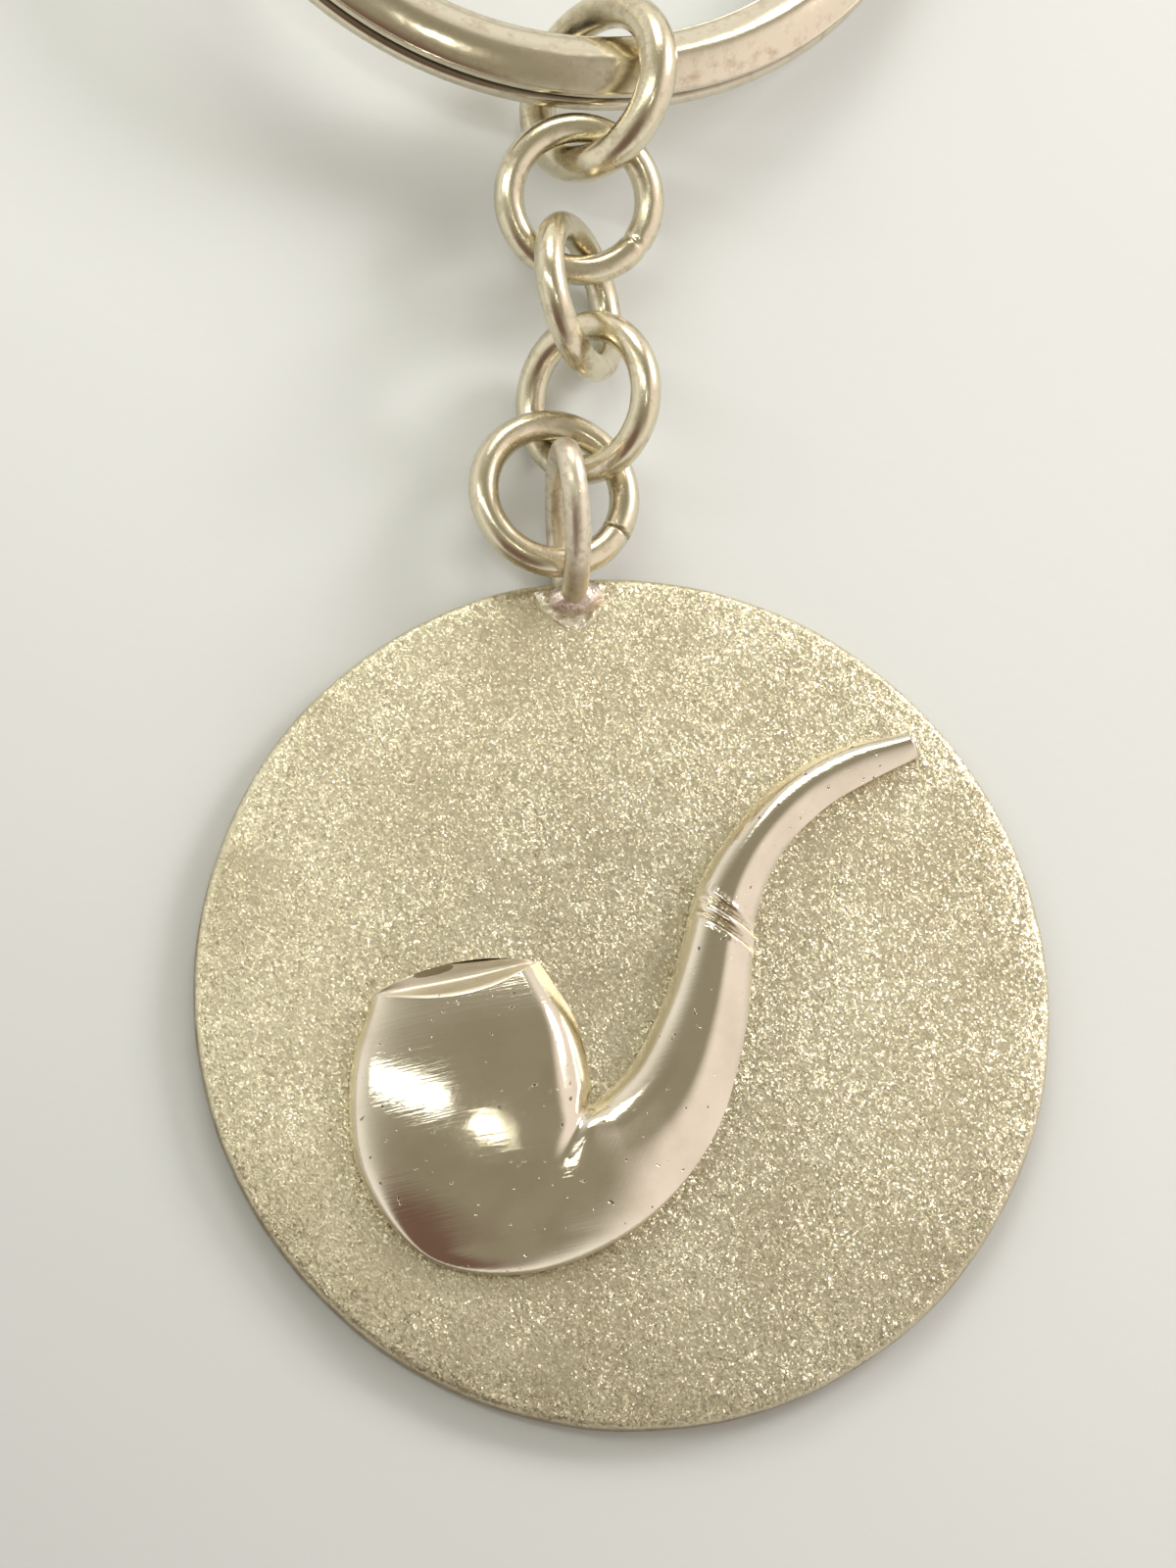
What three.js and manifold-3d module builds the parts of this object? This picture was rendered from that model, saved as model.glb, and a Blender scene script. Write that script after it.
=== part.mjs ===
// A souvenir keychain: a thin medallion with a raised tobacco pipe, a soldered bail,
// a chain of five jump rings and a double-coil split ring.
// Millimetres, +Z up. The origin is the centre of the medallion's flat back face,
// +Y runs from the medallion along the chain to the split ring.
import * as THREE from "three";
import { mergeVertices } from "three/addons/utils/BufferGeometryUtils.js";
import Module from "manifold-3d";

const wasm = await Module();
wasm.setup();

// ---- Driving dimensions -------------------------------------------------------------

const DISC_DIAMETER = 35;
const DISC_THICKNESS = 1.2;
const DISC_EDGE_RADIUS = 0.3;
const SEAT_GAP = 0.02; // between pieces that are soldered or cast onto each other

// The raised pipe: heights above the medallion's face.
const PIPE_WALL = 0.45; // upright side wall under the domed top
const BOWL_HEIGHT = 2.1;
const BOWL_CROWN = -4.0; // Y of the bowl's highest line
const BOWL_FALL = 0.03; // height lost per square millimetre away from that line
const BOWL_FALL_LIMIT = 0.9;
const SHANK_HEIGHT = 1.5;
const BEVEL_EDGE = 0.45; // share of the height at which a bevelled side starts
const BEVEL_POWER = 1.8;
const STEM_HEIGHT = 0.75;
const MOUTH_REACH = 0.55; // how far the mouth's back rim bulges past the bowl's corners
const LIP_REACH = -0.9; // how far the front lip dips below the bowl's corners
const RIM_HEIGHT = 0.75;
const RIM_CORNER = 0.2; // share of the mouth's width over which its rim rises
const RIM_DISH = 0.12;
const MOUTH_DEPTH = 0.45;
const LIP_DISH = 0.15;
const GROOVE_DEPTH = 0.22;

// The bail: a wire ring squashed into a slanting oval, on edge across the medallion's rim.
const BAIL = { wire: 0.54, halfLength: 2.65, halfHeight: 2.6, slant: 25, at: [-0.05, 19.3, 3.15] };
const SOLDER = { x: 1.3, y: 1.05, z: 0.7, centreY: 16.45 };

// The chain's jump rings from the medallion upwards. lean turns a ring's left side down,
// pitch turns its far side up, both in degrees from lying flat.
const THIN_RING = { radius: 3.0, wire: 0.625 };
const STOUT_RING = { radius: 3.4, wire: 0.79 };
const LINKS = [
  { name: "jump_ring_1", ...THIN_RING, at: [-0.22, 20.92, 2.1], lean: 6.3, pitch: 1.0 },
  { name: "jump_ring_2", ...THIN_RING, at: [1.63, 24.69, 2.83], lean: -47.3, pitch: -3.5 },
  { name: "jump_ring_3", ...THIN_RING, at: [1.85, 29.0, 3.18], lean: 58.3, pitch: -1.0 },
  { name: "jump_ring_4", ...THIN_RING, at: [2.48, 33.3, 3.21], lean: 1.4, pitch: -12.9 },
  { name: "jump_ring_5", ...STOUT_RING, at: [3.81, 37.93, 4.02], lean: -49.7, pitch: 13.3 },
];
const RING_CUT = { link: 0, width: 0.1, angle: -38 };

// The split ring: a flattened wire wound twice round, its turns changing level at the joggle.
const SPLIT = { radius: 15.95, width: 2.7, height: 1.3, turnGap: 0.06, cornerPower: 0.75 };
const SPLIT_PLACE = { at: [4.67, 54.51, 3.21], lean: 6.2, pitch: 2.0 };
const JOGGLE = { angle: 60, halfAngle: 11 };

const RING_SECTION = 12; // facets round a ring's wire
const RING_STEPS = 44; // facets along a jump ring
const SPLIT_STEPS = 84; // facets along one turn of the split ring
const EDGE_STEPS = 3; // facets round each rounded edge of the medallion
const DISC_STEPS = 96; // facets round the medallion

// ---- Helpers ------------------------------------------------------------------------

const degrees = THREE.MathUtils.degToRad;

// Closed body through stations that all hold the same number of points.
function loft(stations) {
  const count = stations[0].length;
  const vertices = stations.flat().flatMap((point) => [point.x, point.y, point.z]);
  const faces = [];
  const end = (stations.length - 1) * count;
  for (let near = 0; near < end; near += count) {
    const far = near + count;
    for (let j = 0; j < count; j += 1) {
      const next = (j + 1) % count;
      faces.push(near + j, near + next, far + next, near + j, far + next, far + j);
    }
  }
  for (let j = 1; j < count - 1; j += 1) {
    faces.push(0, j + 1, j, end, end + j, end + j + 1);
  }
  const geometry = new THREE.BufferGeometry();
  geometry.setAttribute("position", new THREE.Float32BufferAttribute(vertices, 3));
  geometry.setIndex(faces);
  return geometry;
}

function toSolid(geometry) {
  const bare = geometry.clone();
  bare.deleteAttribute("normal");
  bare.deleteAttribute("uv");
  const merged = mergeVertices(bare, 1e-4);
  return new wasm.Manifold(
    new wasm.Mesh({
      numProp: 3,
      vertProperties: merged.attributes.position.array,
      triVerts: new Uint32Array(merged.index.array),
    }),
  );
}

function toGeometry(solid) {
  const mesh = solid.getMesh();
  const geometry = new THREE.BufferGeometry();
  geometry.setAttribute("position", new THREE.Float32BufferAttribute(mesh.vertProperties, 3));
  geometry.setIndex(Array.from(mesh.triVerts));
  geometry.computeVertexNormals();
  return geometry;
}

// Removes from one geometry every other geometry given.
function cut(geometry, ...tools) {
  const solid = tools.reduce((left, tool) => left.subtract(toSolid(tool)), toSolid(geometry));
  return toGeometry(solid);
}

function namedMesh(name, geometry, colour, roughness) {
  geometry.computeVertexNormals();
  const material = new THREE.MeshStandardMaterial({ color: colour, roughness, metalness: 1 });
  const mesh = new THREE.Mesh(geometry, material);
  mesh.name = name;
  return mesh;
}

// ---- Medallion ----------------------------------------------------------------------

function discGeometry(grow = 0) {
  const radius = DISC_DIAMETER / 2 + grow;
  const top = DISC_THICKNESS + grow;
  const edge = DISC_EDGE_RADIUS;
  const lower = [];
  const upper = [];
  for (let step = 0; step <= EDGE_STEPS; step += 1) {
    const turn = (step / EDGE_STEPS) * (Math.PI / 2);
    const out = radius - edge + edge * Math.sin(turn);
    const drop = edge * (1 - Math.cos(turn));
    lower.push(new THREE.Vector2(out, drop - grow));
    upper.unshift(new THREE.Vector2(out, top - drop));
  }
  const profile = [new THREE.Vector2(0, -grow), ...lower, ...upper, new THREE.Vector2(0, top)];
  return new THREE.LatheGeometry(profile, DISC_STEPS).rotateX(Math.PI / 2);
}

// ---- Pipe relief --------------------------------------------------------------------

// Outline as pairs of points, the outer side first and the inner side second, from the
// bowl's mouth down round the elbow and up the shank and stem to the bit.
const PIPE_STATIONS = [
  [-10.4, 0.95, -3.7, 1.5],
  [-11.75, -2.2, -2.6, -1.2],
  [-11.85, -6.1, -2.4, -3.6],
  [-9.6, -9.7, -2.42, -4.2],
  [-5.6, -10.75, -2.35, -4.35],
  [-1.0, -9.4, -2.05, -4.2],
  [2.3, -6.3, -0.5, -3.0],
  [4.2, -2.3, 1.1, -0.7],
  [5.05, 0.9, 2.45, 2.0],
  [5.4, 2.4, 3.05, 3.5],
  [6.9, 4.8, 4.6, 5.6],
  [9.0, 6.5, 7.2, 7.8],
  [11.2, 7.5, 10.0, 9.0],
  [13.3, 8.25, 12.9, 9.4],
];
const FERRULE_START = 8.1; // station where the engraved rings begin
const FERRULE_END = 9;
const ACROSS = 14; // facets across the pipe
const STEPS_PER_STATION = 4;

const railFrom = (column) =>
  new THREE.CatmullRomCurve3(
    PIPE_STATIONS.map((row) => new THREE.Vector3(row[column], row[column + 1], 0)),
    false,
    "centripetal",
  );
const outerRail = railFrom(0);
const innerRail = railFrom(2);

// Value at a station from a few (station, value) pairs, smoothly interpolated.
function along(station, pairs) {
  let k = 0;
  while (k < pairs.length - 2 && station > pairs[k + 1][0]) k += 1;
  const [from, low] = pairs[k];
  const [to, high] = pairs[k + 1];
  return THREE.MathUtils.lerp(low, high, THREE.MathUtils.smoothstep(station, from, to));
}

const quarterRise = (distance, width) => {
  const left = 1 - Math.min(distance / width, 1);
  return Math.sqrt(1 - left * left);
};

// Rise from a flattened side: bevel blends from a quarter round (0) to a sloping facet (1).
const sideRise = (distance, width, bevel) => {
  const left = 1 - Math.min(distance / width, 1);
  const facet = BEVEL_EDGE + (1 - BEVEL_EDGE) * (1 - left ** BEVEL_POWER);
  return THREE.MathUtils.lerp(quarterRise(distance, width), facet, bevel);
};

function pipeHeight(station, across, y) {
  const fall = Math.min(BOWL_FALL * (y - BOWL_CROWN) ** 2, BOWL_FALL_LIMIT);
  const fullHeight = along(station, [
    [0, BOWL_HEIGHT],
    [4, BOWL_HEIGHT * 0.93],
    [6.5, SHANK_HEIGHT],
    [9, SHANK_HEIGHT * 0.82],
    [13, STEM_HEIGHT],
  ]);
  const height = fullHeight - fall * along(station, [[3, 1], [6, 0]]);
  const outerWidth = along(station, [[0, 0.75], [3.5, 0.7], [6, 0.45], [13, 0.5]]);
  const outerBevel = along(station, [[3.5, 0], [6, 1]]);
  const innerWidth = along(station, [[0, 0.14], [2, 0.17], [3.6, 0.22], [5.5, 0.34], [7, 0.4], [13, 0.5]]);
  const innerBevel = along(station, [[2, 1], [3.6, 0]]);
  const outerRise = sideRise(across, outerWidth, outerBevel);
  const dome = outerRise * sideRise(1 - across, innerWidth, innerBevel);
  const isFerrule = station > FERRULE_START && station < FERRULE_END;
  const turns = (station - FERRULE_START) / (FERRULE_END - FERRULE_START);
  const groove = isFerrule ? GROOVE_DEPTH * Math.sin(turns * 2 * Math.PI) ** 2 : 0;
  return PIPE_WALL + (height - groove) * dome;
}

// One station's closed section. bulge bends it along the pipe, heightAt gives its top.
function pipeSection(station, bulge, heightAt) {
  const share = station / (PIPE_STATIONS.length - 1);
  const outer = outerRail.getPoint(share);
  const inner = innerRail.getPoint(share);
  const base = DISC_THICKNESS + SEAT_GAP;
  const side = new THREE.Vector3().subVectors(inner, outer).normalize();
  const back = new THREE.Vector3(-side.y, side.x, 0);
  const points = [];
  for (let j = 0; j <= ACROSS; j += 1) {
    const across = (1 - Math.cos((Math.PI * j) / ACROSS)) / 2;
    const point = new THREE.Vector3().lerpVectors(outer, inner, across);
    point.addScaledVector(back, bulge * 4 * across * (1 - across));
    point.z = base + heightAt(across, point.y);
    points.push(point);
  }
  const feet = points.map((point) => new THREE.Vector3(point.x, point.y, base));
  return [...feet, ...points.reverse()];
}

// Height inside the bowl's mouth. rim goes from 0 at the front lip to 1 at the back rim,
// and dish is how far the middle sinks.
function mouthHeight(across, y, rim, dish) {
  const corners = quarterRise(across, RIM_CORNER) * quarterRise(1 - across, RIM_CORNER);
  const lip = pipeHeight(0, across, y) - PIPE_WALL;
  const sunk = dish * Math.sin(Math.PI * across);
  return PIPE_WALL + lip * (1 - rim) + RIM_HEIGHT * rim * corners - sunk;
}

function pipeGeometry() {
  const middle = (MOUTH_REACH + LIP_REACH) * 0.4;
  const stations = [
    pipeSection(0, MOUTH_REACH, (across, y) => mouthHeight(across, y, 1, 0)),
    pipeSection(0, MOUTH_REACH * 0.55, (across, y) => mouthHeight(across, y, 1, RIM_DISH)),
    pipeSection(0, middle, (across, y) => mouthHeight(across, y, 0.85, MOUTH_DEPTH)),
    pipeSection(0, LIP_REACH * 0.9, (across, y) => mouthHeight(across, y, 0, LIP_DISH)),
  ];
  const steps = (PIPE_STATIONS.length - 1) * STEPS_PER_STATION;
  for (let i = 0; i <= steps; i += 1) {
    const station = i / STEPS_PER_STATION;
    const bulge = LIP_REACH * (1 - THREE.MathUtils.smoothstep(station, -0.2, 2.2));
    stations.push(pipeSection(station, bulge, (across, y) => pipeHeight(station, across, y)));
  }
  return loft(stations);
}

// ---- Rings --------------------------------------------------------------------------

function torusGeometry(radius, wire) {
  return new THREE.TorusGeometry(radius, wire, RING_SECTION, RING_STEPS);
}

function bailGeometry(wire = BAIL.wire) {
  const points = [];
  for (let turn = 0; turn < 360; turn += 15) {
    const ahead = BAIL.halfLength * Math.cos(degrees(turn));
    const up = BAIL.halfHeight * Math.sin(degrees(turn + BAIL.slant));
    points.push(new THREE.Vector3(0, ahead, up));
  }
  const path = new THREE.CatmullRomCurve3(points, true);
  const oval = new THREE.TubeGeometry(path, RING_STEPS, wire, RING_SECTION, true);
  return oval.translate(...BAIL.at);
}

function solderGeometry() {
  const mound = new THREE.SphereGeometry(1, 24, 16);
  mound.scale(SOLDER.x, SOLDER.y, SOLDER.z).translate(0, SOLDER.centreY, DISC_THICKNESS);
  return cut(mound, discGeometry(SEAT_GAP), bailGeometry(BAIL.wire + SEAT_GAP));
}

function linkGeometry(link, index) {
  const ring = torusGeometry(link.radius, link.wire);
  if (index !== RING_CUT.link) return ring;
  const saw = new THREE.BoxGeometry(4 * link.wire, RING_CUT.width, 4 * link.wire);
  saw.translate(link.radius, 0, 0).rotateZ(degrees(RING_CUT.angle));
  return cut(ring, saw);
}

// The split ring's wire section: flat where the turns meet, domed on the outside.
function splitSection(angle, level) {
  const points = [];
  for (let j = 0; j < RING_SECTION; j += 1) {
    const turn = (2 * Math.PI * j) / RING_SECTION;
    const across = Math.sign(Math.cos(turn)) * Math.abs(Math.cos(turn)) ** SPLIT.cornerPower;
    const up = Math.sign(Math.sin(turn)) * Math.abs(Math.sin(turn)) ** SPLIT.cornerPower;
    const reach = SPLIT.radius + (SPLIT.width / 2) * across;
    const z = level + (SPLIT.height / 2) * up;
    points.push(new THREE.Vector3(reach * Math.cos(angle), reach * Math.sin(angle), z));
  }
  return points;
}

function splitRingGeometry() {
  const half = JOGGLE.halfAngle;
  const first = JOGGLE.angle + half;
  const last = JOGGLE.angle + 720 - half;
  const steps = 2 * SPLIT_STEPS;
  const level = (SPLIT.height + SPLIT.turnGap) / 2;
  const stations = [];
  for (let i = 0; i <= steps; i += 1) {
    const angle = THREE.MathUtils.lerp(first, last, i / steps);
    const middle = JOGGLE.angle + 360;
    const ramp = THREE.MathUtils.smoothstep(angle, middle - half, middle + half);
    stations.push(splitSection(degrees(angle), level * (2 * ramp - 1)).reverse());
  }
  return loft(stations);
}

function place(mesh, { at, lean, pitch }) {
  mesh.position.set(...at);
  mesh.rotation.set(degrees(-pitch), degrees(lean), 0, "XYZ");
  return mesh;
}

// ---- Assembly -----------------------------------------------------------------------

const keychain = new THREE.Group();
const medallion = new THREE.Group();
medallion.add(namedMesh("medallion_disc", discGeometry(), 0xb3a583, 0.55));
medallion.add(namedMesh("pipe_relief", pipeGeometry(), 0xc9bea2, 0.15));
medallion.add(namedMesh("bail_ring", cut(bailGeometry(), discGeometry(SEAT_GAP)), 0xa39478, 0.35));
medallion.add(namedMesh("bail_solder", solderGeometry(), 0xb5a48a, 0.4));
keychain.add(medallion);

const chain = new THREE.Group();
LINKS.forEach((link, index) => {
  const ring = namedMesh(link.name, linkGeometry(link, index), 0xb6a988, 0.28);
  chain.add(place(ring, link));
});
const splitRing = namedMesh("split_ring", splitRingGeometry(), 0xb9ad8c, 0.22);
chain.add(place(splitRing, SPLIT_PLACE));
keychain.add(chain);

export default keychain;
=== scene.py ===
"""Looks for the souvenir keychain: medallion, raised pipe, bail, jump rings and split ring.

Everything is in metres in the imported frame. MM turns millimetres into metres.
"""
import math

import bpy
import numpy as np
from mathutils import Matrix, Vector


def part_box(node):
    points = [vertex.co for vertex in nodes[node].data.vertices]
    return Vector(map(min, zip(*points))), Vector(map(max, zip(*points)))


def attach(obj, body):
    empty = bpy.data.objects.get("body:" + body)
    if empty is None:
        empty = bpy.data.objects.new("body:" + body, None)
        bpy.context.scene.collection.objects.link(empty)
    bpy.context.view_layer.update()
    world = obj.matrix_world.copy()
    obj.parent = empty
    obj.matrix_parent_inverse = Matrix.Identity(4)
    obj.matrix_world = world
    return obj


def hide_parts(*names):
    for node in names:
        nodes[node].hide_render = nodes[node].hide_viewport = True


MM = 0.001
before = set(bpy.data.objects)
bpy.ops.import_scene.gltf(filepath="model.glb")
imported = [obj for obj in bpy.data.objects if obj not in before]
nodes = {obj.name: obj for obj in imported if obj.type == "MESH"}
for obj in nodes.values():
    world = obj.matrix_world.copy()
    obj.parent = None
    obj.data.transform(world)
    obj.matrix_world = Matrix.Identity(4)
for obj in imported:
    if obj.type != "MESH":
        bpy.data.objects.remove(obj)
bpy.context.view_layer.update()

# ---- Driving values (millimetres unless named otherwise) ------------------------------

DISC_LOW, DISC_HIGH = (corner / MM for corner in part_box("medallion_disc"))
DISC_RADIUS = (DISC_HIGH.x - DISC_LOW.x) / 2
DISC_TOP = DISC_HIGH.z
RIM_ROUND = 0.32
RIM_WEAR = 0.0022  # share of the radius by which the rim wanders
RIM_ROLL = 0.06  # how far the face rolls down towards the rim
FACE_SINK = 0.02
FACE_CENTRE = 0.4  # radius of the flat spot in the middle that closes the face
DISC_STEPS = 360
ROUND_STEPS = 6

PIPE_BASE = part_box("pipe_relief")[0].z / MM
PIPE_WALL = 0.45
BOWL_HEIGHT = 2.1
BOWL_CROWN = -4.0  # Y of the bowl's highest line
BOWL_FALL = 0.03  # height lost per square millimetre away from that line
BOWL_FALL_LIMIT = 0.9
SHANK_HEIGHT = 1.5
BEVEL_EDGE = 0.45  # share of the height at which a bevelled side starts
BEVEL_POWER = 1.8
STEM_HEIGHT = 0.75
MOUTH_REACH = 0.55
LIP_REACH = -0.9
RIM_HEIGHT = 0.75
MOUTH_DEPTH = 0.32
GROOVE_DEPTH = 0.3
GROOVE_SKEW = 0.5
BEAD_RISE = 0.06
CREASE = ((-2.5, -4.3), (-4.3, -6.9))  # ends of the fold between bowl and shank, in plan
CREASE_DEPTH = 0.32
CREASE_WIDTH = 0.3
FERRULE = (8.1, 9.0)  # stations where the engraved rings begin and end
ACROSS_STEPS = 61
MOUTH_STEPS = 14
STATION_STEPS = 20  # rows from one station to the next

RING_STEPS = 180
RING_SECTION = 28
RING_UNEVEN = 0.006  # share of the wire's radius
CUT_WIDTH = 0.14  # the saw cut that leaves jump ring 1 unsoldered
CUT_ANGLE = -38
SEAM_ANGLE = -44  # the closed joint of jump ring 4
SEAM_DEPTH = 0.06
SEAM_WIDTH = 0.12

SPLIT_WIDTH = 2.7
SPLIT_HEIGHT = 1.3
SPLIT_TURN_GAP = 0.06
SPLIT_FLAT_POWER = 0.45
SPLIT_RIDGE_POWER = 1.4  # lower is a sharper crest along the middle of the domed side
SPLIT_SHOULDER_POWER = 0.8
SPLIT_EDGE_POWER = 0.9
JOGGLE_ANGLE = 60  # degrees, in the split ring's plane
JOGGLE_HALF_ANGLE = 11
SPLIT_STEPS = 720
SPLIT_SECTION = 48

SOLDER_HALF_WIDTH = 1.5
SOLDER_TAPER = 0.5  # share of the width lost by the fan's far end
SOLDER_LENGTH = 1.75
SOLDER_SKIN = 0.13
SOLDER_EDGE = 0.82  # where the fan's raised edges lie, as a share of its half width
SOLDER_START = DISC_RADIUS - RIM_ROUND - 0.15
LUMP_CENTRE = np.array([0.1, 16.5, 1.55])
LUMP_SIZE = np.array([1.15, 0.72, 0.85])
LUMP_STEPS = 26
LUMP_SECTION = 40

BAIL_WIRE = 0.54
BAIL_HALF_LENGTH = 2.65
BAIL_HALF_HEIGHT = 2.6
BAIL_SLANT = 25  # degrees
BAIL_UNEVEN = 0.02
BAIL_STEPS = 160

PAPER_LEVEL = -0.05
PAPER_HALF = 600

# ---- Mesh helpers -----------------------------------------------------------------------


def smoothstep(value, low, high):
    share = np.clip((value - low) / (high - low), 0, 1)
    return share * share * (3 - 2 * share)


def ripple(x, y=0.0, z=0.0, seed=0):
    """Smooth, repeatable unevenness between about -1 and 1, for points in millimetres."""
    rng = np.random.default_rng(seed)
    total = 0
    for octave in range(5):
        wave = rng.normal(size=3) * 1.6 ** octave
        phase = rng.uniform(0, 6.28)
        total = total + np.sin(wave[0] * x + wave[1] * y + wave[2] * z + phase) / 1.4 ** octave
    return total / 2.6


def new_object(name, points, faces, flow=None):
    """Mesh object from points in millimetres, shaded smooth.

    flow is a vector per point that materials read.
    """
    mesh = bpy.data.meshes.new(name)
    mesh.from_pydata((np.asarray(points) * MM).tolist(), [], faces)
    mesh.update()
    mesh.polygons.foreach_set("use_smooth", [True] * len(mesh.polygons))
    if flow is not None:
        layer = mesh.attributes.new("flow", "FLOAT_VECTOR", "POINT")
        layer.data.foreach_set("vector", np.asarray(flow, float).ravel())
    obj = bpy.data.objects.new(name, mesh)
    bpy.context.scene.collection.objects.link(obj)
    return obj


def quads(rows, columns, closed_along=False, closed_around=True):
    """Faces over a grid of points.

    closed_along joins its last row to its first, closed_around its last column to its first.
    """
    faces = []
    for i in range(rows if closed_along else rows - 1):
        for j in range(columns if closed_around else columns - 1):
            k, n = (i + 1) % rows, (j + 1) % columns
            faces.append((i * columns + j, i * columns + n, k * columns + n, k * columns + j))
    return faces


def loft(name, grid, closed_along=False, flow=None):
    """Closed surface over grid[station][point]; flat faces close its ends unless they meet."""
    grid = np.asarray(grid, float)
    rows, columns = grid.shape[:2]
    faces = quads(rows, columns, closed_along)
    if not closed_along:
        faces.append(tuple(reversed(range(columns))))
        faces.append(tuple(range((rows - 1) * columns, rows * columns)))
    shape = None if flow is None else np.asarray(flow, float).reshape(-1, 3)
    return new_object(name, grid.reshape(-1, 3), faces, shape)


def ring_place(node):
    """Centre, two in-plane axes, normal and radii of a CAD ring, in millimetres."""
    points = np.array([v.co for v in nodes[node].data.vertices], float) / MM
    low, high = points.min(0), points.max(0)
    centre = (low + high) / 2
    _, _, axes = np.linalg.svd(points - points.mean(0), full_matrices=False)
    normal = axes[2] * np.sign(axes[2][2] if abs(axes[2][2]) > 0.2 else axes[2][0])
    side = np.array([1.0, 0, 0]) if abs(normal[0]) < 0.9 else np.array([0, 1.0, 0])
    across = side - normal * side.dot(normal)
    across /= np.linalg.norm(across)
    ahead = np.cross(normal, across)
    local = (points - centre) @ np.stack([across, ahead, normal], 1)
    reach = np.hypot(local[:, 0], local[:, 1])
    outer, inner = reach.max(), reach.min()
    return {"centre": centre, "axes": np.stack([across, ahead, normal]),
            "radius": (outer + inner) / 2, "wire": (outer - inner) / 2}


# ---- Material helpers ---------------------------------------------------------------------


class Nodes:
    """Short way to write node trees: each call adds a node and returns its output."""

    def __init__(self, name):
        self.material = bpy.data.materials.new(name)
        self.material.use_nodes = True
        self.tree = self.material.node_tree
        self.tree.nodes.clear()
        output = self.tree.nodes.new("ShaderNodeOutputMaterial")
        self.shader = self.tree.nodes.new("ShaderNodeBsdfPrincipled")
        self.tree.links.new(self.shader.outputs[0], output.inputs["Surface"])

    def feed(self, socket, value):
        if isinstance(value, bpy.types.NodeSocket):
            self.tree.links.new(value, socket)
        elif value is not None:
            socket.default_value = value

    def add(self, kind, inputs=(), out=0, **settings):
        node = self.tree.nodes.new(kind)
        for key, value in settings.items():
            setattr(node, key, value)
        for key, value in dict(inputs).items():
            self.feed(node.inputs[key], value)
        return node.outputs[out]

    def coords(self, stretch=(1, 1, 1), turn=0.0):
        """Object coordinates in millimetres, optionally stretched and turned about Z."""
        place = self.add("ShaderNodeTexCoord", out="Object")
        scaled = tuple(share / MM for share in stretch)
        turned = self.add("ShaderNodeMapping", {"Vector": place, "Rotation": (0, 0, turn)})
        return self.add("ShaderNodeMapping", {"Vector": turned, "Scale": scaled})

    def noise(self, vector, scale, detail=3.0, roughness=0.5):
        return self.add("ShaderNodeTexNoise", {"Vector": vector, "Scale": scale, "Detail": detail,
                                               "Roughness": roughness}, out="Fac")

    def cells(self, vector, scale):
        """A random colour, centred on zero, for each grain of the surface."""
        colour = self.add("ShaderNodeTexVoronoi", {"Vector": vector, "Scale": scale}, out="Color")
        return self.vector("SUBTRACT", colour, (0.5, 0.5, 0.5))

    def axes(self, vector):
        """Outputs X, Y and Z of a vector, by name."""
        node = self.tree.nodes.new("ShaderNodeSeparateXYZ")
        self.feed(node.inputs[0], vector)
        return node.outputs

    def span(self, value, low, high):
        """0 to 1 as a value goes from low to high."""
        return self.add("ShaderNodeMapRange", {"Value": value, "From Min": low, "From Max": high})

    def ramp(self, value, *stops):
        node = self.tree.nodes.new("ShaderNodeValToRGB")
        self.feed(node.inputs[0], value)
        elements = node.color_ramp.elements
        while len(elements) < len(stops):
            elements.new(0.5)
        for element, (place, colour) in zip(elements, stops):
            element.position = place
            element.color = (*colour, 1) if isinstance(colour, tuple) else (colour, colour, colour, 1)
        return node.outputs[0]

    def math(self, operation, a, b, clamp=False):
        node = self.tree.nodes.new("ShaderNodeMath")
        node.operation = operation
        node.use_clamp = clamp
        for socket, value in zip(node.inputs, (a, b)):
            self.feed(socket, value)
        return node.outputs[0]

    def vector(self, operation, a, b=None, scale=None):
        node = self.tree.nodes.new("ShaderNodeVectorMath")
        node.operation = operation
        self.feed(node.inputs[0], a)
        if b is not None:
            self.feed(node.inputs[1], b)
        if scale is not None:
            self.feed(node.inputs["Scale"], scale)
        return node.outputs[0]

    def mix(self, factor, a, b):
        node = self.tree.nodes.new("ShaderNodeMix")
        node.data_type = "RGBA"
        self.feed(node.inputs[0], factor)
        for socket, value in ((node.inputs[6], a), (node.inputs[7], b)):
            self.feed(socket, (*value, 1) if isinstance(value, tuple) else value)
        return node.outputs[2]

    def bump(self, height, distance, strength, normal=None):
        inputs = {"Height": height, "Distance": distance, "Strength": strength}
        if normal is not None:
            inputs["Normal"] = normal
        return self.add("ShaderNodeBump", inputs)

    def finish(self, **inputs):
        for key, value in inputs.items():
            self.feed(self.shader.inputs[key.replace("_", " ")], value)
        return self.material


def grime(n, cell=1.6, low=0.5, high=0.78):
    """Patchy mask of dull, darker metal."""
    return n.ramp(n.noise(n.coords(), cell, 6, 0.62), (low, 0.0), (high, 1.0))


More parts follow.
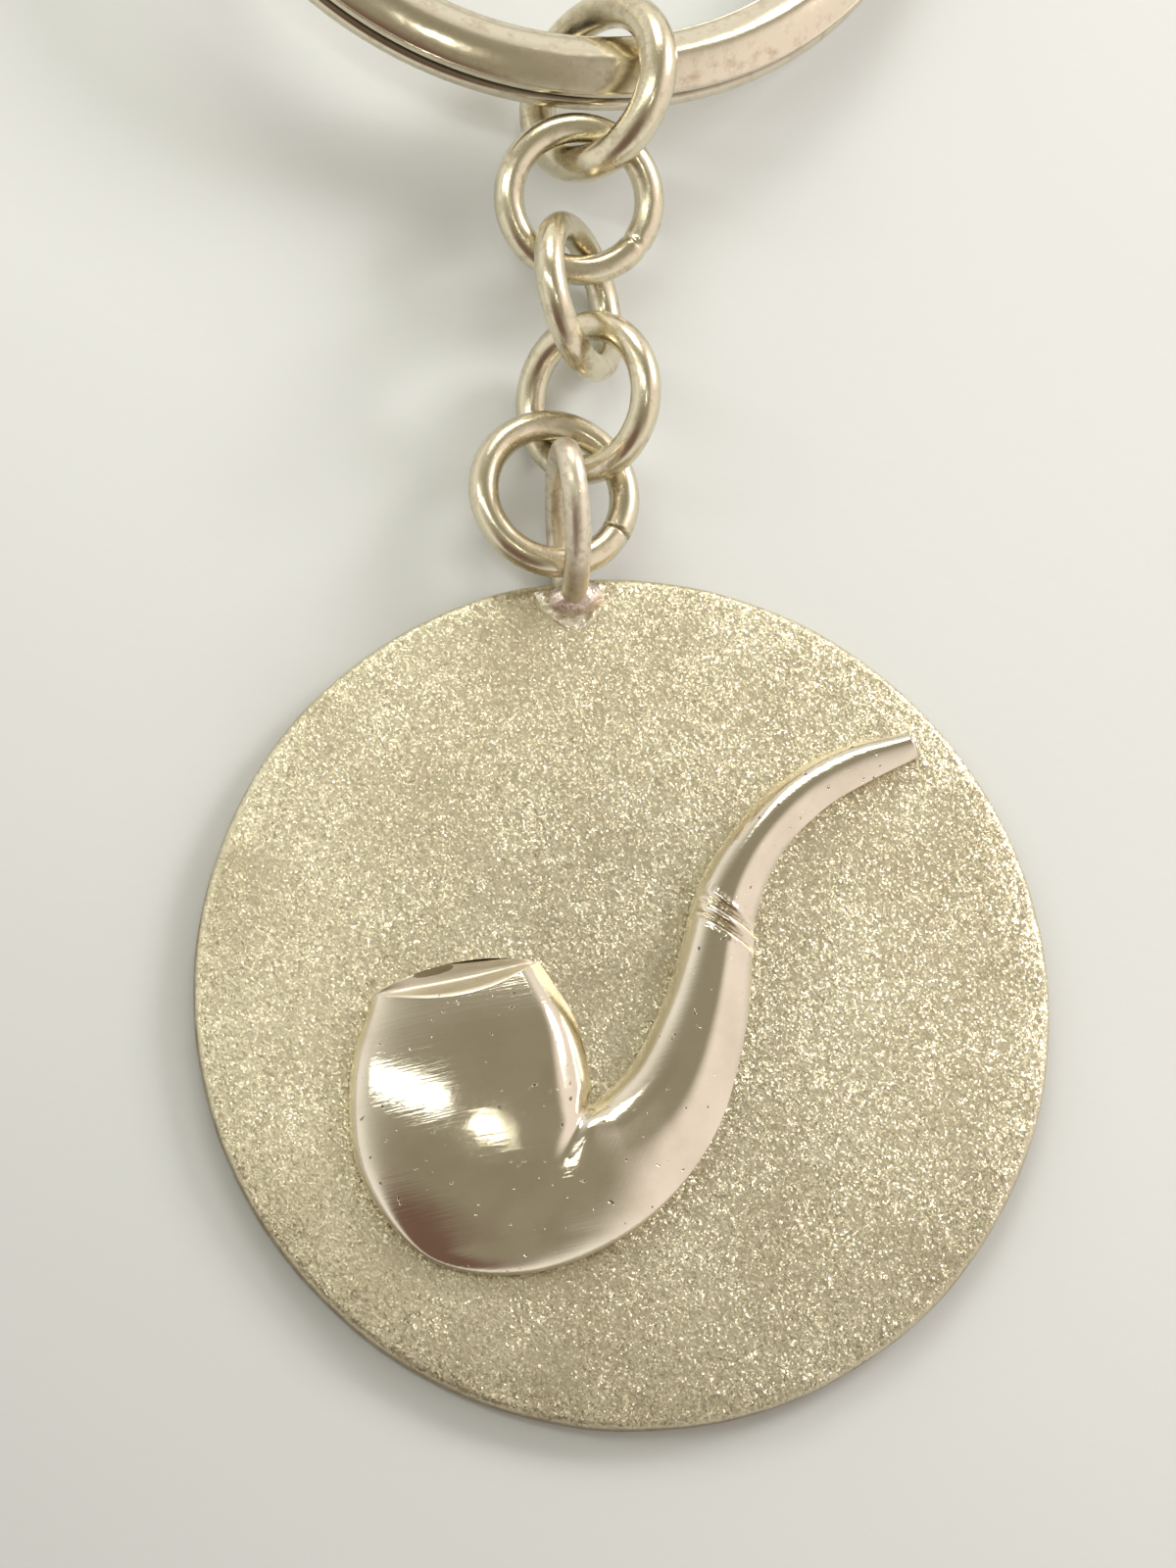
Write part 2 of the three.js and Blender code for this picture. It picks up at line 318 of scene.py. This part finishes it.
def blasted_material():
    """Sandblasted face: grains tipped every way, so that single ones catch the light.

    Painted shade darkens its tone in the middle and towards the lower rim; its edge is painted dark brown,
    partly as tarnish and partly as painted shade.
    """
    n = Nodes("blasted_face")
    place = n.coords()
    streaks = n.coords(stretch=(1, 0.7, 1), turn=math.radians(-38))
    tip = n.vector("ADD", n.cells(streaks, 11.5), n.cells(place, 21.0))
    true_normal = n.add("ShaderNodeNewGeometry", out="Normal")
    spread = n.ramp(n.noise(place, 0.35, 3), (0.3, 0.33), (0.7, 0.47))
    normal = n.vector("NORMALIZE", n.vector("ADD", true_normal, n.vector("SCALE", tip, scale=spread)))
    patches = n.noise(place, 0.16, 4, 0.55)
    tone = n.ramp(patches, (0.3, (0.62, 0.56, 0.40)), (0.7, (0.75, 0.70, 0.52)))
    # painted shade: the face is darkened towards its middle and towards the lower rim
    reach = n.add("ShaderNodeVectorMath", {0: place}, out="Value", operation="LENGTH")
    inward = n.span(reach, 12.5, 6.0)
    low = n.span(n.axes(place)["Y"], -4.0, -15.0)
    painted_face_shade = n.math("ADD", n.math("MULTIPLY", inward, 0.18), n.math("MULTIPLY", low, 0.22))
    tone = n.mix(painted_face_shade, tone, (0.0, 0.0, 0.0))
    speck = n.ramp(n.noise(place, 2.1, 2), (0.27, 1.0), (0.31, 0.0))
    face = n.mix(n.math("MULTIPLY", speck, 0.4), tone, (0.30, 0.25, 0.17))
    # partly tarnish, partly painted shade: the rounded rim and side wall are painted dark brown in patches
    edge = n.ramp(n.axes(place)["Z"], (0.88, 1.0), (1.0, 0.0))
    tarnish_and_rim_shade = n.math("MULTIPLY", edge, n.noise(place, 1.3, 4))
    colour = n.mix(n.math("MULTIPLY", tarnish_and_rim_shade, 1.5, clamp=True), face, (0.33, 0.24, 0.13))
    rough = n.ramp(n.noise(place, 5.0, 2), (0.3, 0.28), (0.7, 0.44))
    return n.finish(Base_Color=colour, Metallic=1.0, Roughness=rough, Normal=normal)


def worn_metal(name, light, dark, roughness, scratch=0.5, pits=0.3, tint=None, cell=1.6, dent=0.35):
    """Handled bright metal: fine scratches along the wire, small dents and dull patches.

    cell sets how fine the dull patches are; flow's Z paints near-black shade into the seam between two turns.
    """
    n = Nodes(name)
    flow = n.add("ShaderNodeAttribute", out="Vector", attribute_name="flow")
    lines = n.noise(n.vector("MULTIPLY", flow, (0.35, 14.0, 1.0)), 1.0, 4, 0.7)
    cross = n.noise(n.vector("MULTIPLY", flow, (9.0, 1.1, 1.0)), 1.0, 3, 0.6)
    dull = grime(n, cell)
    dents = n.noise(n.coords(), 1.3, 2, 0.4)
    small = n.ramp(n.noise(n.coords(), 9.0, 3), (0.24, 0.0), (0.34, 1.0))
    # painted shade: where flow's Z is 1, on the flat sides where a split ring's turns meet, the colour goes
    # near-black
    colour = n.mix(n.axes(flow)["Z"], n.mix(dull, light, dark), (0.09, 0.065, 0.04))
    if tint is not None:
        colour = n.mix(n.ramp(n.noise(n.coords(), 0.9, 3), (0.45, 0.0), (0.7, 0.6)), colour, tint)
    rough = n.math("ADD", roughness, n.math("MULTIPLY", dull, 0.16))
    rough = n.math("ADD", rough, n.math("MULTIPLY", lines, 0.06))
    height = n.math("ADD", n.math("MULTIPLY", lines, 0.25 * scratch),
                    n.math("MULTIPLY", cross, 0.12 * scratch))
    soft = n.bump(dents, 0.05 * MM, dent)
    scored = n.bump(height, 0.008 * MM, 0.35, soft)
    pitted = n.bump(small, 0.012 * MM, pits, scored)
    return n.finish(Base_Color=colour, Metallic=1.0, Roughness=rough, Normal=pitted)


def polished_material():
    """The pipe: nearly a mirror, with brushed hairlines and scattered casting pits."""
    n = Nodes("polished_relief")
    place = n.coords()
    hair = n.noise(n.coords(stretch=(0.4, 9, 1), turn=math.radians(-4)), 1.0, 3, 0.65)
    cross = n.noise(n.coords(stretch=(18, 0.6, 1), turn=math.radians(35)), 1.0, 3, 0.7)
    wave = n.noise(place, 0.28, 2, 0.4)
    pit = n.ramp(n.noise(place, 3.1, 2, 0.4), (0.245, 0.0), (0.28, 1.0))
    dust = n.ramp(n.noise(place, 0.5, 4), (0.4, 0.0), (0.75, 1.0))
    tone = n.mix(dust, (0.78, 0.72, 0.60), (0.68, 0.62, 0.50))
    colour = n.mix(pit, (0.30, 0.25, 0.19), tone)
    flow = n.add("ShaderNodeAttribute", out="Vector", attribute_name="flow")
    mouth = n.axes(flow)["X"]
    rough = n.math("ADD", n.math("MULTIPLY", hair, 0.12), n.math("MULTIPLY", dust, 0.06))
    rough = n.math("ADD", n.math("MULTIPLY", mouth, 0.28), n.math("ADD", rough, 0.04))
    soft = n.bump(wave, 0.2 * MM, 0.3)
    lines = n.bump(n.math("ADD", hair, n.math("MULTIPLY", cross, 0.3)), 0.010 * MM, 0.6, soft)
    holes = n.bump(pit, 0.04 * MM, 0.8, lines)
    return n.finish(Base_Color=colour, Metallic=1.0, Roughness=rough, Normal=holes)


def solder_material():
    """Pale where it is thin on the face, pinkish where it piles up round the foot."""
    n = Nodes("solder")
    place = n.coords()
    lumps = n.noise(place, 2.4, 5, 0.6)
    piled = n.span(n.axes(place)["Z"], DISC_TOP + 0.2, DISC_TOP + 0.5)
    pale = n.mix(grime(n, 2.2, 0.5, 0.72), (0.90, 0.86, 0.72), (0.66, 0.59, 0.45))
    pink = n.mix(grime(n, 2.8, 0.46, 0.7), (0.84, 0.73, 0.66), (0.50, 0.37, 0.31))
    colour = n.mix(piled, pale, pink)
    rough = n.ramp(lumps, (0.3, 0.2), (0.7, 0.38))
    return n.finish(Base_Color=colour, Metallic=1.0, Roughness=rough, Normal=n.bump(lumps, 0.15 * MM, 0.7))


def paper_material():
    """Pale paper, with painted shade that darkens it towards the lower left."""
    n = Nodes("paper_floor")
    fibre = n.noise(n.coords(stretch=(1, 1.6, 1)), 0.9, 5, 0.6)
    cloud = n.noise(n.coords(), 0.02, 2)
    colour = n.mix(cloud, (0.745, 0.78, 0.785), (0.785, 0.82, 0.825))
    # painted shade: the paper is darkened by up to 30% towards the lower left
    shade = n.span(n.axes(n.coords(turn=math.radians(-45)))["X"], -50.0, 10.0)
    colour = n.mix(shade, n.mix(0.3, colour, (0.0, 0.0, 0.0)), colour)
    return n.finish(Base_Color=colour, Roughness=0.85, Normal=n.bump(fibre, 0.05 * MM, 0.25))


# ---- Pieces -----------------------------------------------------------------------------


def make_disc():
    """Thin medallion: rounded, slightly uneven rim and a face that isn't quite flat."""
    quarter = np.linspace(0, math.pi / 2, ROUND_STEPS)
    edge = [(DISC_RADIUS - RIM_ROUND * (1 - math.sin(t)), DISC_TOP - RIM_ROUND * (1 - math.cos(t)))
            for t in quarter]
    edge += [(DISC_RADIUS - RIM_ROUND * (1 - math.cos(t)), RIM_ROUND * (1 - math.sin(t)))
             for t in quarter]
    flat_radius = DISC_RADIUS - RIM_ROUND - 0.1
    face = [(radius, DISC_TOP) for radius in np.linspace(FACE_CENTRE, flat_radius, 40)]
    back = [(radius, 0.0) for radius in np.linspace(flat_radius, FACE_CENTRE, 12)]
    angles = np.linspace(0, 2 * math.pi, DISC_STEPS, endpoint=False)
    rows = []
    for radius, height in face + edge + back:
        x, y = radius * np.cos(angles), radius * np.sin(angles)
        near_rim = smoothstep(radius, DISC_RADIUS - 1.5, DISC_RADIUS)
        upper = height > DISC_TOP / 2
        pull = 1 - RIM_WEAR * near_rim * (1 + ripple(6 * np.cos(angles), 6 * np.sin(angles), seed=4))
        sink = FACE_SINK * ripple(x * 0.25, y * 0.25, seed=9) * upper
        roll = RIM_ROLL * near_rim * (1 + ripple(x * 0.8, y * 0.8, seed=5)) * upper
        z = height + np.minimum(0, sink) - roll
        rows.append(np.stack([x * pull, y * pull, z], 1))
    disc = loft("medallion", rows)
    return finish_piece(disc, "medallion", "medallion_disc", blasted_material())


# The pipe's outline from the bowl's mouth to the bit: X and Y of its outer side, then of its inner
PIPE_STATIONS = [
    (-10.4, 0.95, -3.7, 1.5),
    (-11.75, -2.2, -2.6, -1.2),
    (-11.85, -6.1, -2.4, -3.6),
    (-9.6, -9.7, -2.42, -4.2),
    (-5.6, -10.75, -2.35, -4.35),
    (-1.0, -9.4, -2.05, -4.2),
    (2.3, -6.3, -0.5, -3.0),
    (4.2, -2.3, 1.1, -0.7),
    (5.05, 0.9, 2.45, 2.0),
    (5.4, 2.4, 3.05, 3.5),
    (6.9, 4.8, 4.6, 5.6),
    (9.0, 6.5, 7.2, 7.8),
    (11.2, 7.5, 10.0, 9.0),
    (13.3, 8.25, 12.9, 9.4),
]


def between(a, b, low, high, at):
    """Value at a place between low, where it is a, and high, where it is b."""
    return ((high - at) * a + (at - low) * b) / (high - low)


def rail(column, stations):
    """Smooth centripetal curve through one side of the pipe's outline."""
    points = np.array([row[column:column + 2] for row in PIPE_STATIONS], float)
    padded = [2 * points[0] - points[1], *points, 2 * points[-1] - points[-2]]
    curve = []
    for station in stations:
        k = min(int(station), len(points) - 2)
        a, b, c, d = padded[k:k + 4]
        ta = 0.0
        tb = ta + np.linalg.norm(b - a) ** 0.5
        tc = tb + np.linalg.norm(c - b) ** 0.5
        td = tc + np.linalg.norm(d - c) ** 0.5
        t = tb + (tc - tb) * (station - k)
        ab = between(a, b, ta, tb, t)
        bc = between(b, c, tb, tc, t)
        cd = between(c, d, tc, td, t)
        curve.append(between(between(ab, bc, ta, tc, t), between(bc, cd, tb, td, t), tb, tc, t))
    return np.array(curve)


def along(station, pairs):
    """Smoothly interpolated value at a station, from (station, value) pairs."""
    for (low, a), (high, b) in zip(pairs, pairs[1:]):
        if station <= high:
            break
    return a + (b - a) * float(smoothstep(station, low, high))


def side_rise(distance, width, bevel):
    """Rise from a flattened side: bevel blends from a quarter round (0) to a sloping facet (1)."""
    left = 1 - np.minimum(distance / width, 1)
    facet = BEVEL_EDGE + (1 - BEVEL_EDGE) * (1 - left ** BEVEL_POWER)
    return np.sqrt(1 - left ** 2) * (1 - bevel) + facet * bevel


def pipe_height(station, across, y):
    """Height of the pipe's skin at points across a station; across is 0 at the outer side."""
    height = along(station, [(0, BOWL_HEIGHT), (4, BOWL_HEIGHT * 0.93), (6.5, SHANK_HEIGHT),
                             (9, SHANK_HEIGHT * 0.82), (13, STEM_HEIGHT)])
    fall = np.minimum(BOWL_FALL * (y - BOWL_CROWN) ** 2, BOWL_FALL_LIMIT)
    height = height - fall * along(station, [(3, 1), (6, 0)])
    outer = along(station, [(0, 0.75), (3.5, 0.7), (6, 0.45), (13, 0.5)])
    inner = along(station, [(0, 0.14), (2, 0.17), (3.6, 0.22), (5.5, 0.34), (7, 0.4), (13, 0.5)])
    outer_bevel = along(station, [(3.5, 0), (6, 1)])
    inner_bevel = along(station, [(2, 1), (3.6, 0)])
    dome = side_rise(across, outer, outer_bevel) * side_rise(1 - across, inner, inner_bevel)
    turns = (station - GROOVE_SKEW * (across - 0.5) - FERRULE[0]) / (FERRULE[1] - FERRULE[0])
    wave = np.sin(turns * 2 * math.pi)
    inside = (turns > 0) & (turns < 1)
    ring = np.where(inside, GROOVE_DEPTH * wave ** 6 - BEAD_RISE * (1 - wave ** 2), 0)
    return PIPE_WALL + (height - ring) * dome


def crease_drop(flat):
    """How far the fold between bowl and shank lowers the skin at points in plan."""
    start, end = np.array(CREASE[0]), np.array(CREASE[1])
    share = np.clip((flat - start) @ (end - start) / (end - start).dot(end - start), 0, 1)
    gap = np.linalg.norm(flat - start - share[:, None] * (end - start), axis=1)
    return CREASE_DEPTH * (1 - share) * np.exp(-(gap / CREASE_WIDTH) ** 2)


def mouth_height(across, y, rim, dish):
    """Height inside the bowl's mouth: rim is 0 at the front lip and 1 at the back rim."""
    corners = side_rise(across, 0.2, 0) * side_rise(1 - across, 0.2, 0)
    lip = pipe_height(0, across, y) - PIPE_WALL
    return PIPE_WALL + lip * (1 - rim) + RIM_HEIGHT * rim * corners - dish * np.sin(math.pi * across)


def make_pipe():
    """The pipe as one skin over rails that follow its outline, from the bowl's mouth to the bit."""
    across = (1 - np.cos(np.linspace(0, math.pi, ACROSS_STEPS))) / 2
    last = len(PIPE_STATIONS) - 1
    plan = []
    for share in np.linspace(0, 1, MOUTH_STEPS):
        rim = float(1 - smoothstep(share, 0.35, 1.0))
        dish = MOUTH_DEPTH * math.sin(math.pi * min(share * 1.15, 1)) ** 0.8
        bulge = MOUTH_REACH + (LIP_REACH * 0.97 - MOUTH_REACH) * share
        plan.append((0, bulge, rim, dish))
    for station in np.linspace(0, last, last * STATION_STEPS + 1):
        bulge = LIP_REACH * (1 - float(smoothstep(station, -0.2, 2.2)))
        plan.append((station, bulge, None, None))
    stations = [row[0] for row in plan]
    outer, inner = rail(0, stations), rail(2, stations)
    rows, flow = [], []
    for (station, bulge, rim, dish), left, right in zip(plan, outer, inner):
        side = (right - left) / np.linalg.norm(right - left)
        back = np.array([-side[1], side[0]])
        bow = bulge * 4 * across * (1 - across)
        flat = left + across[:, None] * (right - left) + bow[:, None] * back
        if rim is None:
            heights = pipe_height(station, across, flat[:, 1])
        else:
            heights = mouth_height(across, flat[:, 1], rim, dish)
        top = np.column_stack([flat, PIPE_BASE + np.maximum(heights - crease_drop(flat), 0.05)])
        feet = np.column_stack([flat[[0, -1]], [PIPE_BASE, PIPE_BASE]])
        rows.append(np.vstack([feet[:1], top, feet[1:]])[::-1])
        flow.append(np.tile([0.0 if rim is None else 1.0, 0.0, 0.0], (len(rows[-1]), 1)))
    pipe = loft("pipe", rows, flow=flow)
    return finish_piece(pipe, "medallion", "pipe_relief", polished_material())


def make_link(number, material, cut=None, seam=None):
    """Round wire ring laid on its CAD ring, with a saw cut or a closed seam at an angle, or neither."""
    node = f"jump_ring_{number}"
    ring = ring_place(node)
    start = 0.0 if cut is None else math.radians(cut)
    half = 0.0 if cut is None else CUT_WIDTH / 2 / ring["radius"]
    is_open = cut is not None
    angles = np.linspace(start + half, start + 2 * math.pi - half, RING_STEPS, endpoint=is_open)
    turn = np.linspace(0, 2 * math.pi, RING_SECTION, endpoint=False)
    rows, flow = [], []
    for angle in angles:
        out = np.array([math.cos(angle), math.sin(angle), 0.0])
        lumps = ripple(3 * math.cos(angle), 3 * math.sin(angle), seed=number)
        wire = ring["wire"] * (1 + RING_UNEVEN * lumps)
        if seam is not None:
            turned = angle - math.radians(seam)
            away = abs((turned + math.pi) % (2 * math.pi) - math.pi) * ring["radius"]
            wire -= SEAM_DEPTH * math.exp(-(away / SEAM_WIDTH) ** 2)
        level = np.outer(wire * np.sin(turn), [0, 0, 1])
        local = (ring["radius"] + wire * np.cos(turn))[:, None] * out + level
        rows.append(ring["centre"] + local @ ring["axes"])
        run = np.full(RING_SECTION, angle * ring["radius"] + 50 * number)
        flow.append(np.column_stack([run, turn * wire, 0 * turn]))
    piece = loft(f"link_ring_{number}", rows, closed_along=not is_open, flow=flow)
    return finish_piece(piece, f"link_{number}", node, material)


def make_bail(material):
    """Slanting oval of wire on edge across the rim; its foot runs into the medallion."""
    low, high = (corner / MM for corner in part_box("bail_ring"))
    turn = np.linspace(0, 2 * math.pi, RING_SECTION, endpoint=False)
    rows, flow = [], []
    lie = np.linspace(0, 2 * math.pi, BAIL_STEPS, endpoint=False)
    slant = math.radians(BAIL_SLANT)
    path = np.column_stack([np.full(BAIL_STEPS, (low.x + high.x) / 2),
                            high.y - BAIL_WIRE - BAIL_HALF_LENGTH * (1 - np.cos(lie)),
                            high.z - BAIL_WIRE - BAIL_HALF_HEIGHT * (1 - np.sin(lie + slant))])
    ahead = np.roll(path, -1, 0) - np.roll(path, 1, 0)
    ahead /= np.linalg.norm(ahead, axis=1)[:, None]
    step = np.linalg.norm(np.roll(path, -1, 0) - path, axis=1).mean()
    for i, (point, direction) in enumerate(zip(path, ahead)):
        out = np.cross(direction, [1.0, 0, 0])
        wire = BAIL_WIRE * (1 + BAIL_UNEVEN * ripple(2 * point[1], 2 * point[2], seed=11))
        rows.append(point + wire * (np.outer(np.cos(turn), out) + np.outer(np.sin(turn), [1.0, 0, 0])))
        flow.append(np.column_stack([np.full(RING_SECTION, i * step), turn * wire, 0 * turn]))
    piece = loft("bail", rows, closed_along=True, flow=flow)
    return finish_piece(piece, "medallion", "bail_ring", material)


def make_split_ring(material):
    """Flattened wire wound twice, changing level at the joggle.

    It is domed outside, and flat where the turns meet, with painted shade on those flat sides.
    """
    node = "split_ring"
    ring = ring_place(node)
    joggle, half = math.radians(JOGGLE_ANGLE), math.radians(JOGGLE_HALF_ANGLE)
    middle = joggle + 2 * math.pi
    turn = np.linspace(0, 2 * math.pi, SPLIT_SECTION, endpoint=False)
    across, up = np.cos(turn), np.sin(turn)
    rows, flow = [], []
    for angle in np.linspace(joggle + half, joggle + 4 * math.pi - half, SPLIT_STEPS):
        side = 2 * float(smoothstep(angle, middle - half, middle + half)) - 1
        domed = smoothstep(up * side, -0.3, 0.3)
        outward = np.sign(across) * np.abs(across) ** SPLIT_EDGE_POWER
        reach = ring["radius"] + SPLIT_WIDTH / 2 * outward
        crest = (1 - np.abs(outward) ** SPLIT_RIDGE_POWER) ** SPLIT_SHOULDER_POWER
        flat = np.abs(up) ** SPLIT_FLAT_POWER
        rise = SPLIT_HEIGHT / 2 * np.sign(up) * (flat + (crest - flat) * domed)
        level = (SPLIT_HEIGHT + SPLIT_TURN_GAP) / 2 * side
        local = np.column_stack([reach * math.cos(angle), reach * math.sin(angle), level + rise])
        rows.append((ring["centre"] + local @ ring["axes"])[::-1])
        # painted shade: seam is 1 on the flat sides where the turns meet, which the material paints
        # near-black
        seam = 1 - smoothstep(up * side, -0.75, -0.2)
        lie = np.column_stack([np.full(SPLIT_SECTION, angle * ring["radius"]), turn * 0.9, seam])
        flow.append(lie[::-1])
    piece = loft("split_ring_coil", rows, flow=flow)
    return finish_piece(piece, "key_ring", node, material)


def finish_piece(piece, body, node, material):
    """Give a piece its material and its body, and hide the CAD node it stands in for."""
    piece.data.materials.clear()
    piece.data.materials.append(material)
    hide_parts(node)
    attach(piece, body)
    return piece


def solder_fan():
    """Rows of points of the thin sheet of solder that has run over the face from the bail's foot."""
    across = np.linspace(-1, 1, 41)
    rows = []
    for share in np.linspace(0, 1, 40):
        half = SOLDER_HALF_WIDTH * (1 - SOLDER_TAPER * share) * (1 + 0.05 * ripple(9 * share, seed=21))
        x = half * across * math.sqrt(max(1 - share ** 8, 0.05))
        y = SOLDER_START - SOLDER_LENGTH * share + 0.15 * share * ripple(2.5 * across, seed=22)
        rim = np.sqrt(np.maximum(1 - across ** 6, 0)) * math.sqrt(max(1 - share ** 4, 0))
        ridge = 1 + 1.2 * np.exp(-((np.abs(across) - SOLDER_EDGE) / 0.12) ** 2)
        skin = SOLDER_SKIN * ridge * (1 + 0.35 * ripple(5 * x, 5 * y, seed=23))
        rows.append(np.column_stack([x, y, DISC_TOP - 0.03 + skin * rim]))
    return np.array(rows)


def solder_lump():
    """Rows of points of the rough knob of solder round the bail's foot."""
    turn = np.linspace(0, 2 * math.pi, LUMP_SECTION, endpoint=False)
    rows = []
    for tilt in np.linspace(0.02, math.pi - 0.02, LUMP_STEPS):
        ball = np.column_stack([math.sin(tilt) * np.cos(turn), math.sin(tilt) * np.sin(turn),
                                np.full(LUMP_SECTION, math.cos(tilt))])
        bumps = 1 + 0.07 * ripple(4 * ball[:, 0], 4 * ball[:, 1], 4 * ball[:, 2], seed=24)
        rows.append(LUMP_CENTRE + ball * LUMP_SIZE * bumps[:, None])
    return np.array(rows)


def make_solder():
    """The solder run: its fan on the face and its knob round the bail's foot, as one piece."""
    fan, lump = solder_fan(), solder_lump()
    offset = fan.shape[0] * fan.shape[1]
    faces = quads(*fan.shape[:2], closed_around=False)
    faces += [tuple(offset + corner for corner in face) for face in quads(*lump.shape[:2])]
    points = np.vstack([fan.reshape(-1, 3), lump.reshape(-1, 3)])
    outward = [(face[0], *face[:0:-1]) for face in faces]
    piece = new_object("bail_solder_run", points, outward)
    return finish_piece(piece, "medallion", "bail_solder", solder_material())


def make_chain():
    """The bail, the five jump rings and the split ring."""
    links = worn_metal("ring_wire", (0.72, 0.66, 0.50), (0.44, 0.37, 0.25), 0.20)
    bail = worn_metal("bail_wire", (0.76, 0.70, 0.57), (0.46, 0.38, 0.29), 0.33, scratch=3.0, pits=1.0,
                      tint=(0.56, 0.43, 0.37), cell=3.0, dent=0.9)
    make_bail(bail)
    make_link(1, links, cut=CUT_ANGLE)
    make_link(2, links)
    make_link(3, links)
    make_link(4, links, seam=SEAM_ANGLE)
    make_link(5, links)
    split = worn_metal("split_wire", (0.75, 0.69, 0.55), (0.52, 0.43, 0.31), 0.13, scratch=0.7, pits=0.12,
                       dent=0.2)
    make_split_ring(split)


# ---- Stage --------------------------------------------------------------------------------

LIGHT_AIM = Vector((0, 20, 0))
CAMERA_PLACE = Vector((-30.12, -27.37, 153.9))
CAMERA_TURN = (14.53, -8.96, -8.40)  # degrees about X, Y and Z
CAMERA_LENS = 90

# Room colours as linear light
ZENITH = (0.34, 0.31, 0.23)
HORIZON = (1.02, 0.98, 0.91)
BRIGHT_SIDE = (1.08, 0.97, 0.91)
DARK_SIDE = (0.20, 0.12, 0.09)


def make_camera():
    data = bpy.data.cameras.new("camera")
    data.sensor_fit = "VERTICAL"
    data.sensor_height = 36
    data.lens = CAMERA_LENS
    data.clip_start = 0.005
    data.clip_end = 10
    camera = bpy.data.objects.new("camera", data)
    camera.location = CAMERA_PLACE * MM
    camera.rotation_euler = [math.radians(turn) for turn in CAMERA_TURN]
    bpy.context.scene.collection.objects.link(camera)
    bpy.context.scene.camera = camera


def make_light(name, toward, distance, size, radiance, colour):
    """Soft rectangular light that faces the medallion from the direction given."""
    data = bpy.data.lights.new(name, "AREA")
    data.shape = "RECTANGLE"
    data.size, data.size_y = (side * MM for side in size)
    data.energy = radiance * math.pi * data.size * data.size_y
    data.color = colour
    light = bpy.data.objects.new(name, data)
    direction = Vector(toward).normalized()
    light.location = (LIGHT_AIM + direction * distance) * MM
    light.rotation_euler = direction.to_track_quat("Z", "Y").to_euler()
    bpy.context.scene.collection.objects.link(light)


def make_world():
    """Room round the keychain: khaki above, pale near the horizon, warm and dark at one side."""
    world = bpy.data.worlds.new("world")
    bpy.context.scene.world = world
    world.use_nodes = True
    tree = world.node_tree
    place = tree.nodes.new("ShaderNodeTexCoord").outputs["Generated"]

    def toward(direction, low, high):
        """0 to 1 as a direction in the room nears the one given."""
        dot = tree.nodes.new("ShaderNodeVectorMath")
        dot.operation = "DOT_PRODUCT"
        tree.links.new(place, dot.inputs[0])
        dot.inputs[1].default_value = Vector(direction).normalized()
        share = tree.nodes.new("ShaderNodeMapRange")
        share.interpolation_type = "SMOOTHSTEP"
        tree.links.new(dot.outputs["Value"], share.inputs["Value"])
        share.inputs["From Min"].default_value = low
        share.inputs["From Max"].default_value = high
        return share.outputs[0]

    def blend(factor, a, b):
        mix = tree.nodes.new("ShaderNodeMix")
        mix.data_type = "RGBA"
        tree.links.new(factor, mix.inputs[0])
        for socket, value in ((mix.inputs[6], a), (mix.inputs[7], b)):
            if isinstance(value, tuple):
                socket.default_value = (*value, 1)
            else:
                tree.links.new(value, socket)
        return mix.outputs[2]

    colour = blend(toward((0, 0, 1), 0.15, 0.92), HORIZON, ZENITH)
    colour = blend(toward((1, -0.1, 0.25), 0.45, 0.85), colour, BRIGHT_SIDE)
    colour = blend(toward((-0.45, -0.72, 0.53), 0.82, 0.95), colour, DARK_SIDE)
    tree.links.new(colour, tree.nodes["Background"].inputs["Color"])
    tree.nodes["Background"].inputs["Strength"].default_value = 1.0


def make_stage():
    """Paper, room and lights."""
    corners = [(x * PAPER_HALF, y * PAPER_HALF, PAPER_LEVEL) for x, y in ((-1, -1), (1, -1), (1, 1), (-1, 1))]
    floor = new_object("floor", corners, [(0, 1, 2, 3)])
    floor.data.materials.append(paper_material())
    make_world()
    make_light("side_window", (0.80, 0.36, 0.48), 350, (110, 110), 14.0, (1.0, 0.95, 0.93))
    make_light("left_window", (-0.53, 0.24, 0.82), 300, (30, 250), 6.5, (0.97, 1.0, 0.95))
    make_light("back_window", (0.08, 0.80, 0.60), 320, (150, 100), 5.5, (1.0, 0.98, 0.88))
    make_light("lamp", (-0.03, -0.15, 1.0), 260, (9, 14), 40.0, (1.0, 0.98, 0.86))


bpy.context.scene.view_settings.view_transform = "Standard"
make_camera()
make_stage()
make_disc()
make_pipe()
make_solder()
make_chain()
